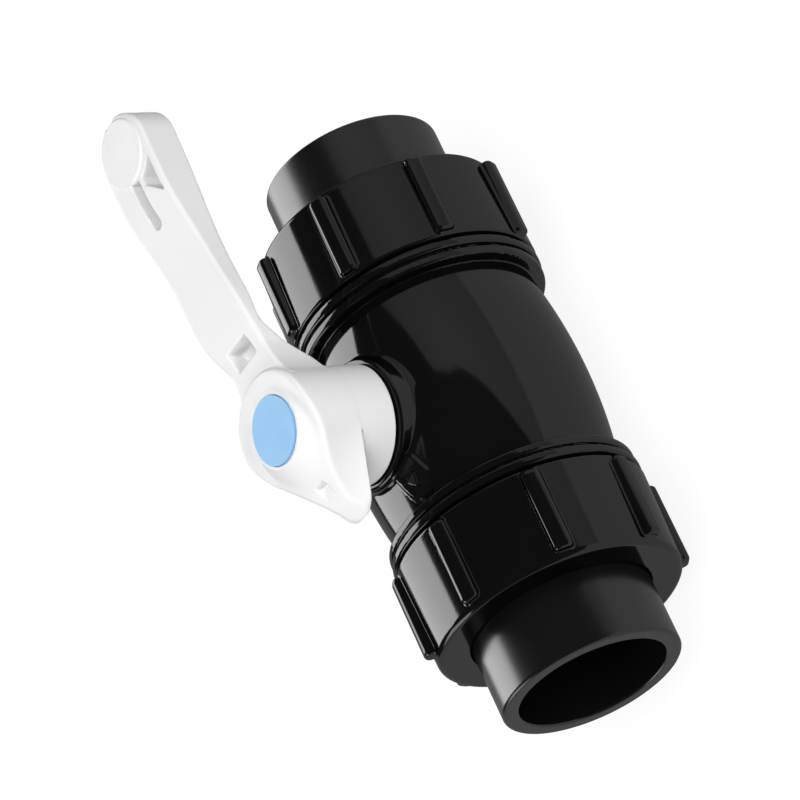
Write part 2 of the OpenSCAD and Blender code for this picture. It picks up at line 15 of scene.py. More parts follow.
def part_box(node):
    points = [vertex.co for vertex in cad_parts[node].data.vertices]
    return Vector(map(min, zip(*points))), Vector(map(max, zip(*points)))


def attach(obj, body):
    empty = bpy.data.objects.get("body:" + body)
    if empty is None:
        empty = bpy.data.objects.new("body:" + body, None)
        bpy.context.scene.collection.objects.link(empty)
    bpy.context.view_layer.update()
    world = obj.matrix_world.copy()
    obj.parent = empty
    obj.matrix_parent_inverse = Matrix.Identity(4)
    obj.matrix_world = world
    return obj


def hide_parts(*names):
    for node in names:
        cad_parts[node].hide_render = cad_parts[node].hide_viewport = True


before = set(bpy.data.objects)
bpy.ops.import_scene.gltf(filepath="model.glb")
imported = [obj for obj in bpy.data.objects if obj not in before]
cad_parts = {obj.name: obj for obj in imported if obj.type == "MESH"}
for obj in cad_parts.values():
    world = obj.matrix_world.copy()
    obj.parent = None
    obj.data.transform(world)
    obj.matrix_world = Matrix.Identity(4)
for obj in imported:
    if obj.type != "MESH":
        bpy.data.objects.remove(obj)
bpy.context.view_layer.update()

MM = 0.001
TAU = 2 * math.pi


# ---- sizes, in millimetres ----

def node_box(node):
    """Lowest and highest corners of a CAD node."""
    low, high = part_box(node)
    return np.round(np.array(low) / MM, 1), np.round(np.array(high) / MM, 1)


body_low, body_high = node_box("valve_body")
nut_low, nut_high = node_box("union_nut_a")
tail_low, tail_high = node_box("end_connector_a")
handle_low, handle_high = node_box("handle")
cap_low, cap_high = node_box("handle_cap")

# along the pipe
FACE_X = body_high[0]
NUT_IN = nut_low[0]
NUT_OUT = nut_high[0]
END_X = tail_high[0]
FLANGE_X = tail_low[0]
SHOULDER_X = FLANGE_X + 7.3
SOCKET_X = END_X - 24.0
COLLAR_OUT = NUT_IN - 1.0
COLLAR_IN = COLLAR_OUT - 7.1
SEAT_BACK_X = 25.96
POCKET_X = 19.96

# about the pipe
FLANGE_R = tail_high[2]
COLLAR_R = -body_low[2]
NUT_R = COLLAR_R + 0.1
RIB_R = NUT_R + 2.4
BARREL_R = COLLAR_R - 1.5
BARREL_DROP = 3.5
ROOT_R = FLANGE_R - 1.6
THREAD_R = ROOT_R + 1.8
NUT_BORE_R = THREAD_R + 0.3
PITCH = 4.0
CHAMBER_R = 31.5
SEAT_POCKET_R = 27.05
FLOW_R = 20.0
SOCKET_R = 25.0
TAIL_R = 30.5

# grip ribs: how many, their size, and the angle of the first from the +Y side
RIB_COUNT = 8
RIB_HALF_W = 3.3
RIB_L = 29
RIB_TURN = {"a": 30, "b": 17}

# the neck and what stands on it, about the stem; all of it starts inside the wall, at IN_WALL_Z
IN_WALL_Z = 20
NECK_Z = body_high[2]
NECK_R = 14.0
NECK_RING_R = 22.0
NECK_RING_Z = BARREL_R + 1.9
STEM_BORE_R = 9.58
STEM_POCKET_R = 13.32
STEM_POCKET_Z = 36.8
STOP_HEIGHT = 8
STOP_HALF_ANGLE = math.radians(19)
MARK_TURN = math.radians(16.5)
MARK_REACH = NECK_RING_R + 7.2
MARK_HALF_W = 5.4
MARK_RISE = 1.1

# handle: heights, then distances from the stem
SKIRT_Z = handle_low[2]
PAD_Z = handle_high[2]
CAP_TOP = cap_high[2]
LEDGE_Z = cap_low[2]
LEVER_TIP = PAD_Z - 0.7
TIP_CUT_Z = LEVER_TIP - 7.4
TAIL_Z = CAP_TOP - 20.0
HUB_UNDER_Z = NECK_Z + 0.6
CAP_R = cap_high[0]
HUB_R = 19.5
HUB_WALL = 2.5
STEM_SQUARE_HALF_W = 6.55
STEM_SQUARE_HEIGHT = 9.2
SCREW_HOLE_R = 3.1
LEVER_L = 109.5
LEVER_WALL = 2.6
LEVER_ROOF = 3
HOLLOW_START = 36.5
PAD_R = 11.1
SLOT_START = 82.0
SLOT_HALF_W = 2.3
THROAT = 27.0
FILLET_R = 26.3
FILLET_Y = 37.0

# grid cells that the meshes are made on
BODY_CELL = 0.8
NUT_CELL = 0.56
HANDLE_CELL = 0.55


# ---- distance functions ----

def cut(a, b, r=0.0):
    """What lies in both shapes, with an edge rounded to radius r."""
    return np.minimum(-r, np.maximum(a, b)) + np.hypot(np.maximum(a + r, 0), np.maximum(b + r, 0))


def join(a, b, r=0.0):
    """Both shapes, with a fillet of radius r where they meet."""
    return -cut(-a, -b, r)


def take(a, b, r=0.0):
    """The first shape less the second, with the edge rounded to radius r."""
    return cut(a, -b, r)


def slab(v, low, high):
    """Between two values along an axis."""
    return np.maximum(low - v, v - high)


def curve_through(points):
    """A smooth function through the points, made of cubic pieces that share their slopes."""
    xs, ys = np.array(points, float).T
    slopes = np.gradient(ys, xs)

    def value(x):
        i = np.clip(np.searchsorted(xs, x) - 1, 0, len(xs) - 2)
        h = xs[i + 1] - xs[i]
        t = np.clip((x - xs[i]) / h, 0, 1)
        start = (1 - t) ** 2 * ((1 + 2 * t) * ys[i] + t * h * slopes[i])
        end = t ** 2 * ((3 - 2 * t) * ys[i + 1] - (1 - t) * h * slopes[i + 1])
        return start + end

    return value


def over_curve(height, curve, x):
    """Distance above a curve, height being measured along its axis."""
    slope = (curve(x + 0.2) - curve(x - 0.2)) / 0.4
    return (height - curve(x)) / np.sqrt(1 + slope ** 2)


# ---- from distance functions to meshes ----

BLOCK = 6
BLOCKS_AT_ONCE = 2000
SLIDES = 3
CORNERS = [(a, b, c) for a in (0, 1) for b in (0, 1) for c in (0, 1)]


def sampled(distance, low, high, cell):
    """Distances on a grid, sampled finely only in the blocks that are near the surface."""
    blocks = np.ceil((high + cell - low) / (cell * BLOCK)).astype(int)
    middles = [low[a] + (np.arange(blocks[a]) + 0.5) * BLOCK * cell for a in range(3)]
    mx, my, mz = (m.ravel() for m in np.meshgrid(*middles, indexing="ij"))
    far = distance(mx, my, mz).reshape(blocks)
    field = far.repeat(BLOCK, 0).repeat(BLOCK, 1).repeat(BLOCK, 2).astype(np.float32)
    near = np.argwhere(np.abs(far) < BLOCK * cell * 1.3)
    step = np.arange(BLOCK)
    offsets = [s.ravel() for s in np.meshgrid(step, step, step, indexing="ij")]
    for part in np.array_split(near, max(1, len(near) // BLOCKS_AT_ONCE)):
        i, j, k = ((part[:, a, None] * BLOCK + offsets[a]).ravel() for a in range(3))
        field[i, j, k] = distance(low[0] + i * cell, low[1] + j * cell, low[2] + k * cell)
    return field


def at_corner(array, corner):
    """The values at one corner of every cell of the grid."""
    return array[tuple(slice(o, o + n - 1) for o, n in zip(corner, array.shape))]


def cell_points(field, cells):
    """A point in each cell, at the mean of where the surface crosses the cell's edges."""
    total = np.zeros((len(cells), 3))
    hits = np.zeros(len(cells))
    for corner in CORNERS:
        for axis in range(3):
            if corner[axis]:
                continue
            far_corner = tuple(1 if a == axis else corner[a] for a in range(3))
            v0 = field[tuple((cells + corner).T)]
            v1 = field[tuple((cells + far_corner).T)]
            crossed = (v0 < 0) != (v1 < 0)
            share = np.where(crossed, v0 / np.where(crossed, v0 - v1, 1), 0)
            spot = np.tile(np.array(corner, float), (len(cells), 1))
            spot[:, axis] += share
            total += spot * crossed[:, None]
            hits += crossed
    return cells + total / hits[:, None]


def quads_round(edges, number, u, v, order):
    """Quads between the numbered cells round each grid edge, in the order that faces them outwards."""
    edges[:, u] += 1
    edges[:, v] += 1
    ring = []
    for du, dv in ((-1, -1), (0, -1), (0, 0), (-1, 0)):
        near_cell = edges.copy()
        near_cell[:, u] += du
        near_cell[:, v] += dv
        ring.append(number[tuple(near_cell.T)])
    return np.stack([ring[o] for o in order], 1)


def cell_quads(inside, number):
    """Quads round all the grid edges that the surface crosses, along each axis in turn."""
    quads = []
    size = number.shape
    for axis in range(3):
        u = (axis + 1) % 3
        v = (axis + 2) % 3
        keep = [slice(1, n) for n in size]
        keep[axis] = slice(0, size[axis])
        ahead = list(keep)
        ahead[axis] = slice(1, size[axis] + 1)
        here = inside[tuple(keep)]
        there = inside[tuple(ahead)]
        quads.append(quads_round(np.argwhere(here & ~there), number, u, v, (0, 1, 2, 3)))
        quads.append(quads_round(np.argwhere(there & ~here), number, u, v, (3, 2, 1, 0)))
    return np.concatenate(quads)


def slopes_at(distance, points, reach):
    """The slope of the distance function at each point."""
    x, y, z = points.T
    rises = [
        distance(x + reach, y, z) - distance(x - reach, y, z),
        distance(x, y + reach, z) - distance(x, y - reach, z),
        distance(x, y, z + reach) - distance(x, y, z - reach),
    ]
    return np.stack(rises, 1) / (2 * reach)


def settled(distance, points, cell):
    """The points slid along the slope of the distance onto the surface, and the normals there."""
    for _ in range(SLIDES):
        slopes = slopes_at(distance, points, cell * 0.1)
        steep = np.maximum((slopes ** 2).sum(1), 0.05)
        move = (distance(*points.T) / steep)[:, None] * slopes
        longest = np.maximum(np.abs(move).max(1, keepdims=True) / cell, 1)
        points = points - move / longest
    lengths = np.linalg.norm(slopes, axis=1, keepdims=True)
    return points, slopes / np.maximum(lengths, 1e-9)


def grid_surface(distance, low, high, cell):
    """Closed mesh of the surface where the distance is zero: its points, quads and normals."""
    low = np.array(low, float) - cell
    field = sampled(distance, low, np.array(high, float), cell)
    inside = field < 0
    count = sum(at_corner(inside, c).astype(np.int8) for c in CORNERS)
    cells = np.argwhere((count > 0) & (count < 8))
    number = np.full(count.shape, -1)
    number[tuple(cells.T)] = np.arange(len(cells))
    points, normals = settled(distance, low + cell_points(field, cells) * cell, cell)
    return points, cell_quads(inside, number), normals


def smooth_object(name, points, quads, normals, material):
    """An object with its own normals, from points in millimetres."""
    mesh = bpy.data.meshes.new(name)
    mesh.from_pydata((points * MM).tolist(), [], quads.tolist())
    mesh.polygons.foreach_set("use_smooth", np.ones(len(quads), bool))
    mesh.normals_split_custom_set_from_vertices(normals.tolist())
    mesh.materials.append(material)
    made = bpy.data.objects.new(name, mesh)
    bpy.context.scene.collection.objects.link(made)
    return made


def solid(name, distance, low, high, cell, material, extras=()):
    """An object made from a distance function, with any extra parts that are meshes already."""
    cell = cell * 1
    points, quads, normals = grid_surface(distance, low, high, cell)
    for more_points, more_quads, more_normals in extras:
        quads = np.concatenate([quads, more_quads + len(points)])
        points = np.concatenate([points, more_points])
        normals = np.concatenate([normals, more_normals])
    return smooth_object(name, points, quads, normals, material)


# ---- turned and swept meshes ----

def rounded_corner(before, here, after, radius, steps=5):
    """Points and outward normals of an arc that rounds one corner of an anticlockwise outline."""
    back = (before - here) / np.linalg.norm(before - here)
    ahead = (after - here) / np.linalg.norm(after - here)
    normal_in = np.array([-back[1], back[0]])
    normal_out = np.array([ahead[1], -ahead[0]])
    bend = math.acos(np.clip(-back @ ahead, -1, 1))
    sign = 1 if back[0] * ahead[1] - back[1] * ahead[0] < 0 else -1
    centre = here + back * radius * math.tan(bend / 2) - sign * normal_in * radius
    points, normals = [], []
    for step in range(steps + 1):
        t = step / steps
        normal = normal_in * (1 - t) + normal_out * t
        normal /= np.linalg.norm(normal)
        points.append(centre + sign * normal * radius)
        normals.append(normal)
    return points, normals


def rounded_outline(profile):
    """Points and normals along a closed outline given anticlockwise as (x, r, corner radius)."""
    points, normals = [], []
    for i, (x, r, radius) in enumerate(profile):
        after = profile[(i + 1) % len(profile)][:2]
        arc, arc_normals = rounded_corner(profile[i - 1][:2], np.array([x, r]), after, radius)
        points += arc
        normals += arc_normals
    return np.array(points), np.array(normals)


def turned(values, angles, side):
    """Rows of (x, r) values turned about the pipe axis, on the +X or the -X side."""
    x, r = values.T
    c = np.cos(angles)[:, None]
    s = np.sin(angles)[:, None]
    return np.stack([side * x + 0 * c, r * c, r * s], 2).reshape(-1, 3)


def lathe(name, profile, material, side=1, turns=160):
    """An object turned about the pipe axis from a closed profile of (x, r, corner radius)."""
    points, normals = rounded_outline(np.array(profile, float))
    angles = np.arange(turns) * TAU / turns
    row = np.arange(turns)[:, None] * len(points)
    next_row = np.roll(row, -1, 0)
    k = np.arange(len(points))
    n = np.roll(k, -1)
    quads = np.stack([row + k, row + n, next_row + n, next_row + k], 2).reshape(-1, 4)
    quads = quads if side > 0 else quads[:, ::-1]
    normals = turned(normals, angles, side)
    return smooth_object(name, turned(points, angles, side), quads, normals, material)


def ridge_outline():
    """Cross-section of a thread ridge as (x, r), and its outward slopes."""
    foot = ROOT_R - 0.4
    half = [(0.3, THREAD_R), (0.58, THREAD_R - 0.28), (1.1, (THREAD_R + foot) / 2), (1.65, foot)]
    outline = np.array([(-x, r) for x, r in half[::-1]] + half)
    along = np.roll(outline, -1, 0) - np.roll(outline, 1, 0)
    slope = np.stack([-along[:, 1], along[:, 0]], 1)
    return outline, slope / np.linalg.norm(slope, axis=1, keepdims=True)


def thread_ridge(first_x, last_x, per_turn=90):
    """The ridge of a right-handed thread about the pipe axis, sunk to its foot at both ends."""
    outline, slope = ridge_outline()
    foot = outline[0, 1]
    angles = np.arange(first_x / PITCH, last_x / PITCH, 1 / per_turn)[:, None] * TAU
    to_end = np.minimum(angles - angles[0], angles[-1] - angles)
    r = foot + (outline[:, 1] - foot) * np.clip(to_end / 0.7, 0.05, 1)
    x = outline[:, 0] + angles * PITCH / TAU
    c = np.cos(angles)
    s = np.sin(angles)
    points = np.stack([x, r * c, r * s], 2).reshape(-1, 3)
    normals = np.stack([slope[:, 0] + 0 * c, slope[:, 1] * c, slope[:, 1] * s], 2).reshape(-1, 3)
    ring = np.arange(len(outline))
    after = np.roll(ring, -1)
    band = np.stack([ring, after, after + len(ring), ring + len(ring)], 1)
    bands = (band + np.arange(len(angles) - 1)[:, None, None] * len(ring)).reshape(-1, 4)
    cap = np.array([(0, 7, 6, 1), (1, 6, 5, 2), (2, 5, 4, 3)])
    far_cap = cap[:, ::-1] + (len(angles) - 1) * len(ring)
    return points, np.concatenate([bands, cap, far_cap]), normals


# ---- materials ----

def noise(mat, scale, detail):
    """Noise that stays fixed to the object."""
    nodes, links = mat.node_tree.nodes, mat.node_tree.links
    place = nodes.new("ShaderNodeTexCoord")
    node = nodes.new("ShaderNodeTexNoise")
    node.inputs["Scale"].default_value = scale
    node.inputs["Detail"].default_value = detail
    links.new(place.outputs["Object"], node.inputs["Vector"])
    return node.outputs["Fac"]


def cloudy_colour(mat, colour, shade):
    """A colour that drifts a little towards a second one."""
    nodes, links = mat.node_tree.nodes, mat.node_tree.links
    blend = nodes.new("ShaderNodeMix")
    blend.data_type = "RGBA"
    blend.inputs["A"].default_value = (*colour, 1)
    blend.inputs["B"].default_value = (*shade, 1)
    links.new(noise(mat, 38, 4), blend.inputs["Factor"])
    links.new(blend.outputs["Result"], nodes["Principled BSDF"].inputs["Base Color"])


def uneven_gloss(mat, rough, spread):
    """Roughness that wanders about its mean."""
    nodes, links = mat.node_tree.nodes, mat.node_tree.links
    gloss = nodes.new("ShaderNodeMapRange")
    gloss.inputs["From Min"].default_value = 0.3
    gloss.inputs["From Max"].default_value = 0.7
    gloss.inputs["To Min"].default_value = rough - spread
    gloss.inputs["To Max"].default_value = rough + spread
    links.new(noise(mat, 140, 3), gloss.inputs["Value"])
    links.new(gloss.outputs["Result"], nodes["Principled BSDF"].inputs["Roughness"])


def moulded_skin(mat, scale, coated):
    """The fine skin of a moulded surface, under its gloss and under its coat."""
    nodes, links = mat.node_tree.nodes, mat.node_tree.links
    bump = nodes.new("ShaderNodeBump")
    bump.inputs["Strength"].default_value = 0.03
    bump.inputs["Distance"].default_value = 0.0002
    links.new(noise(mat, scale, 2), bump.inputs["Height"])
    shader = nodes["Principled BSDF"]
    links.new(bump.outputs["Normal"], shader.inputs["Normal"])
    if coated:
        links.new(bump.outputs["Normal"], shader.inputs["Coat Normal"])


def plastic(name, colour, shade, rough, spread, skin, specular=0.5, coat=0.0):
    """Moulded plastic: faintly cloudy colour, gloss that varies a little and a fine skin."""
    mat = bpy.data.materials.new(name)
    mat.use_nodes = True
    shader = mat.node_tree.nodes["Principled BSDF"]
    shader.inputs["IOR"].default_value = 1.5
    shader.inputs["Specular IOR Level"].default_value = specular
    shader.inputs["Coat Weight"].default_value = coat
    shader.inputs["Coat Roughness"].default_value = rough
    shader.inputs["Coat IOR"].default_value = 2.2
    cloudy_colour(mat, colour, shade)
    uneven_gloss(mat, rough, spread)
    moulded_skin(mat, skin, coat > 0)
    return mat


def steel(name):
    """Turned stainless steel."""
    mat = plastic(name, (0.5, 0.5, 0.5), (0.42, 0.42, 0.43), 0.32, 0.06, 900)
    mat.node_tree.nodes["Principled BSDF"].inputs["Metallic"].default_value = 1
    return mat


GLOSSY_BLACK = (0.0022, 0.0021, 0.0024), (0.0030, 0.0028, 0.0032)
SATIN_BLACK = (0.0036, 0.0034, 0.0038), (0.0046, 0.0043, 0.0048)
HANDLE_WHITE = (0.835, 0.835, 0.84), (0.85, 0.85, 0.852)
CAP_BLUE = (0.235, 0.515, 0.845), (0.247, 0.527, 0.855)

BLACK = plastic("black_body", *GLOSSY_BLACK, 0.09, 0.02, 1500, specular=0.0, coat=0.18)
NUT_BLACK = plastic("black_nut", *GLOSSY_BLACK, 0.1, 0.02, 1500, specular=0.0, coat=0.18)
TAIL_BLACK = plastic("black_tail", *SATIN_BLACK, 0.24, 0.03, 1500, specular=0.0, coat=0.24)
WHITE = plastic("white_handle", *HANDLE_WHITE, 0.5, 0.04, 1300, specular=0.1)
BLUE = plastic("pale_blue_cap", *CAP_BLUE, 0.5, 0.04, 1300, specular=0.1)
BALL = plastic("ball_grey", (0.62, 0.63, 0.64), (0.68, 0.69, 0.70), 0.16, 0.03, 1500)
SEAT = plastic("seat_white", (0.80, 0.79, 0.76), (0.85, 0.84, 0.81), 0.42, 0.05, 1100)
INNER = plastic("inner_black", (0.012, 0.012, 0.013), (0.016, 0.016, 0.017), 0.3, 0.05, 1400)
RUBBER = plastic("o_ring_rubber", (0.008, 0.008, 0.009), (0.011, 0.011, 0.012), 0.5, 0.06, 1900)
STEEL = steel("stainless_steel")

CARRIED = {
    "seat_carrier": INNER, "stem": INNER, "ball": BALL,
    "ball_seat_a": SEAT, "ball_seat_b": SEAT, "thrust_washer": SEAT,
    "carrier_o_ring": RUBBER, "seat_o_ring_a": RUBBER, "seat_o_ring_b": RUBBER,
    "stem_o_ring_lower": RUBBER, "stem_o_ring_upper": RUBBER,
    "union_o_ring_a": RUBBER, "union_o_ring_b": RUBBER,
    "handle_washer": STEEL, "handle_screw": STEEL, "handle_cap": BLUE,
}
for carried, finish in CARRIED.items():
    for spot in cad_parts[carried].material_slots:
        spot.material = finish


# ---- body ----

def above_barrel(x, r):
    """Distance from the barrel, which swells in an arc between the collars."""
    arc_r = (COLLAR_IN ** 2 + BARREL_DROP ** 2) / (2 * BARREL_DROP)
    return np.hypot(x, r - BARREL_R + arc_r) - arc_r


def mark_lug(x, y, z, above):
    """The lug at the foot of the neck, a little above the barrel, and its three-cornered mark."""
    along = x * math.cos(MARK_TURN) + y * math.sin(MARK_TURN)
    across = y * math.cos(MARK_TURN) - x * math.sin(MARK_TURN)
    side = np.hypot(along - np.clip(along, 0, MARK_REACH), across) - MARK_HALF_W
    lug = cut(cut(side, above - MARK_RISE, 0.9), IN_WALL_Z - z)
    corner = along - (MARK_REACH - 1.5)
    edges = [corner * math.cos(a) + across * math.sin(a) - 1.6 for a in (math.pi, TAU / 6, -TAU / 6)]
    mark = cut(cut(edges[0], edges[1], 0.4), edges[2], 0.4)
    mark = cut(mark, z - (BARREL_R - 1.0), 0.25)
    return join(lug, cut(mark, 30 - z), 0.25)


def collar(ax, r):
    """Two rounded rings with a groove between them."""
    mid = (COLLAR_IN + COLLAR_OUT) / 2
    inner = cut(slab(ax, COLLAR_IN, mid - 0.35), r - (COLLAR_R - 0.5), 0.9)
    outer = cut(slab(ax, mid + 0.35, COLLAR_OUT), r - COLLAR_R, 1.0)
    core = cut(slab(ax, COLLAR_IN, COLLAR_OUT - 0.3), r - (COLLAR_R - 1.7), 0.5)
    return join(join(inner, outer), core, 0.3)


def stop_lug(x, y, z):
    """The lug on the neck that stops the handle at both ends of its turn."""
    rho = np.hypot(x, y)
    facing = np.abs(np.arctan2(y, x)) - STOP_HALF_ANGLE
    lug = cut(slab(rho, NECK_R - 1, NECK_R + 2.4), facing * rho, 0.5)
    return cut(lug, slab(z, NECK_Z - STOP_HEIGHT, NECK_Z), 0.5)


def body_shape(x, y, z):
    """The body, its neck, stop lug and mark lug, and the cylinders that carry the threads."""
    ax, r, rho = np.abs(x), np.hypot(y, z), np.hypot(x, y)
    above = above_barrel(x, r)
    barrel = cut(above, ax - COLLAR_IN - 1)
    ring = cut(cut(rho - NECK_RING_R + 0.7, z - NECK_RING_Z, 1.2), IN_WALL_Z - z)
    shape = join(join(barrel, ring, 1.6), mark_lug(x, y, z, above), 1.2)
    neck = cut(cut(rho - NECK_R, z - NECK_Z, 0.6), IN_WALL_Z - z)
    shape = join(shape, neck, 1.2)
    shape = join(shape, stop_lug(x, y, z), 0.4)
    shape = join(shape, collar(ax, r), 0.6)
    return join(shape, cut(ax - FACE_X, r - ROOT_R, 0.6), 0.4)


def body_inside(x, y, z):
    """The chamber, the seat pocket, the passage and the bore of the stem."""
    r, rho = np.hypot(y, z), np.hypot(x, y)
    chamber = cut(r - CHAMBER_R, -POCKET_X - x, 0.5)
    pocket = cut(r - SEAT_POCKET_R, -SEAT_BACK_X - x)
    groove = cut(slab(r, 22.25, 25.75), -SEAT_BACK_X - 3 - x)
    space = np.minimum(chamber, np.minimum(np.maximum(pocket, x), np.maximum(groove, x)))
    space = np.minimum(space, r - FLOW_R)
    bore = cut(rho - STEM_BORE_R, -z)
    well = cut(cut(rho - STEM_POCKET_R, z - STEM_POCKET_Z), -z)
    return np.minimum(space, np.minimum(bore, well))


def body_distance(x, y, z):
    """The body less its inside."""
    return take(body_shape(x, y, z), body_inside(x, y, z), 0.4)


THREAD_START = COLLAR_OUT + 1.2
THREAD_END = FACE_X - 2.6
ridges = [thread_ridge(THREAD_START, THREAD_END), thread_ridge(-THREAD_END, -THREAD_START)]
body_corner = (FACE_X, COLLAR_R, NECK_Z)
body = solid("dressed_body", body_distance, (-FACE_X, -COLLAR_R, -COLLAR_R), body_corner,
             BODY_CELL, BLACK, ridges)


# ---- unions ----

def nut_outside(ax, r, from_rib):
    """The tapered shell of a nut with its ribs, from_rib being the angle from the nearest rib."""
    wall = r - NUT_R + (ax - NUT_IN) / (NUT_OUT - NUT_IN)
    shell = cut(cut(wall, NUT_IN - ax, 0.9), ax - NUT_OUT, 2.0)
    up = r * np.cos(from_rib)
    across = np.abs(r * np.sin(from_rib))
    start = NUT_IN + (NUT_OUT - NUT_IN - RIB_L) / 3
    rib = cut(cut(across - RIB_HALF_W, up - RIB_R, 2.2), slab(ax, start, start + RIB_L), 1.6)
    return join(shell, np.maximum(rib, 30 - r), 0.9)


def nut_inside(x, ax, r, angle):
    """The bore of a nut, its thread, and the hole round the end connector."""
    space = np.maximum(r - NUT_BORE_R, ax - (NUT_OUT - 7.2))
    turns = x / PITCH - angle / TAU
    off = np.abs(turns - np.round(turns)) * 2
    ridge = NUT_BORE_R - 1.7 * (1 - np.clip((0.96 - off) / 0.56, 0, 1))
    threaded = (r - ridge) * 0.62
    space = cut(space, np.where(ax < FACE_X + 0.5, threaded, space), 0.2)
    return np.minimum(space, r - TAIL_R - 0.4)


def nut_distance(turn):
    """Distance function of the nut whose first rib stands at an angle from the +Y side."""
    step = TAU / RIB_COUNT

    def distance(x, y, z):
        ax, r, angle = np.abs(x), np.hypot(y, z), np.arctan2(z, y)
        from_rib = np.mod(angle - turn + step / 2, step) - step / 2
        return take(nut_outside(ax, r, from_rib), nut_inside(x, ax, r, angle), 0.5)

    return distance


def end_profile():
    """Half section of an end connector, from the seal face outwards."""
    groove_x = FLANGE_X + 2.9
    return [
        (FLANGE_X, FLOW_R, 0.4), (SOCKET_X, FLOW_R, 0.3), (SOCKET_X, SOCKET_R, 0.3),
        (END_X, SOCKET_R, 0.8), (END_X, TAIL_R, 1.3), (SHOULDER_X, TAIL_R, 0.5),
        (SHOULDER_X, FLANGE_R, 0.6), (FLANGE_X, FLANGE_R, 0.6), (FLANGE_X, 35.8, 0.2),
        (groove_x, 35.8, 0.2), (groove_x, 32.3, 0.2), (FLANGE_X, 32.3, 0.2),
    ]


for end, side in (("a", 1), ("b", -1)):
    low_x, high_x = sorted((side * NUT_IN, side * NUT_OUT))
    nut_reach = RIB_R + 0.3
    nut = solid(f"dressed_nut_{end}", nut_distance(math.radians(RIB_TURN[end])),
                (low_x, -nut_reach, -nut_reach), (high_x, nut_reach, nut_reach), NUT_CELL, NUT_BLACK)
    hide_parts(f"union_nut_{end}")
    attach(nut, f"nut_{end}")
    tail = lathe(f"dressed_end_{end}", end_profile(), TAIL_BLACK, side)
    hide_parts(f"end_connector_{end}")
    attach(tail, f"end_{end}")
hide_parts("valve_body")
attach(body, "body")


# ---- handle ----

# the lever, by distance from the stem: half its width, its top and its underside
half_width = curve_through([
    (20, 10.9), (27, 10.7), (31, 11.6), (36, 12.5), (40, 12.95), (45, 13.0), (52, 12.5), (59, 12.0),
    (67, 11.75), (76, 12.0), (85, 12.5), (94, 12.9), (103, 13.0), (125, 13.0),
])
lever_top = curve_through([
    (10, 75.0), (20, 75.1), (26, 75.4), (30, 76.4), (36, 78.4), (40, 79.4), (44, 80.1), (52, 81.1),
    (60, 81.9), (67, 82.8), (75, 84.3), (82, 85.8), (88, 86.8), (94, 87.2), (103, 87.4), (125, 87.4),
])
lever_under = curve_through([
    (0, 58.5), (14, 58.8), (19.5, 60.3), (23, 63.0), (27, 66.8), (31, 70.6), (34, 73.0), (37, 73.9),
    (42, 74.0), (125, 74.0),
])

# the hub, by distance from the stem towards the tail: its top, and how deep it is dished
hub_top = curve_through([
    (-25, 77.0), (-4, 77.0), (0, 76.5), (4, 75.2), (9, 73.4), (14, 71.8), (19, 70.1), (22, 68.9),
    (25, 67.1), (28, 65.1), (30, 63.3), (32, 60.8), (34, 57.8), (36, 54.0),
])
hub_dish = curve_through([
    (-40, 0), (-20, 0), (-14, 0.3), (-8, 0.8), (0, 0.8), (8, 0.55), (16, 0.2), (24, 0), (40, 0),
])

# the tail, by height: how far its sides lean in, in degrees, and the radius of its nose
tail_lean = curve_through([
    (50, 24.3), (57.5, 24.3), (60, 27.5), (63, 31), (66, 33.7), (69, 36), (72, 38.3), (90, 38.3),
])
tail_end = curve_through([
    (50, 9), (57.5, 9), (60, 6.5), (63, 4.2), (66, 2.6), (69, 1.6), (72, 1), (90, 1),
])


def lever_plan(u, y, inset=0.0):
    """Outline of the lever seen from above, u being the distance from the stem."""
    ay = np.abs(y)
    tip = np.hypot(np.maximum(u - LEVER_L, 0), y) - half_width(u)
    throat = cut(FILLET_R - np.hypot(u - THROAT, ay - FILLET_Y), 11.5 - u)
    return np.where(u > THROAT, tip, throat) + inset


def lever_blank(u, y, z, top):
    """The lever before anything is cut from it."""
    under = -over_curve(z, lever_under, u)
    return cut(cut(lever_plan(u, y), top, 1.6), under, 0.9)


def lever_hollow(u, y, z, top):
    """The hollow under the lever, less the block that the cuts in its top go into."""
    block = np.maximum(slab(u, 74.4, 103), np.maximum(slab(y, -5, 10.4), 77.6 - z))
    hollow = cut(cut(lever_plan(u, y, LEVER_WALL), top + LEVER_ROOF, 0.8), HOLLOW_START - u, 0.8)
    return take(hollow, block, 0.5)


def thumb_pad(u, y, z):
    """The round pad on the lever's tip."""
    pad = np.hypot(u - LEVER_L, y) - PAD_R
    return cut(cut(pad, z - PAD_Z, 0.6), LEVER_TIP - 3 - z)


def tip_cuts(u, y, z):
    """The round-ended slot that runs up to the pad, and the corner cut beside it."""
    from_pad = np.hypot(u - LEVER_L, y)
    slot = np.hypot(np.minimum(u - SLOT_START, 0), y + 0.9) - SLOT_HALF_W
    slot = cut(cut(slot, 11.5 - from_pad, 0.3), TIP_CUT_Z - z, 0.5)
    slant = -0.702 * (u - 93.4) - 0.713 * (y - 4)
    corner = cut(cut(y - 10.5, slant, 0.7), 13.1 - from_pad, 0.5)
    corner = cut(np.maximum(corner, 3.4 - y), TIP_CUT_Z - z, 0.5)
    return np.minimum(slot, corner)


def pocket_walls(u, y, z):
    """What closes the square pocket where it is deeper than the lever."""
    walls = cut(slab(u, 24.5, 34.5), np.abs(y) - 7.2, 1.5)
    return cut(walls, slab(z, lever_under(u) - 2.3, 74), 1.2)


def square_pocket(u, y, z):
    """The square pocket in the lever's root."""
    square = cut(slab(u, 26, 33), np.abs(y) - 6, 0.9)
    return cut(square, lever_under(u) - 1.4 - z, 0.5)


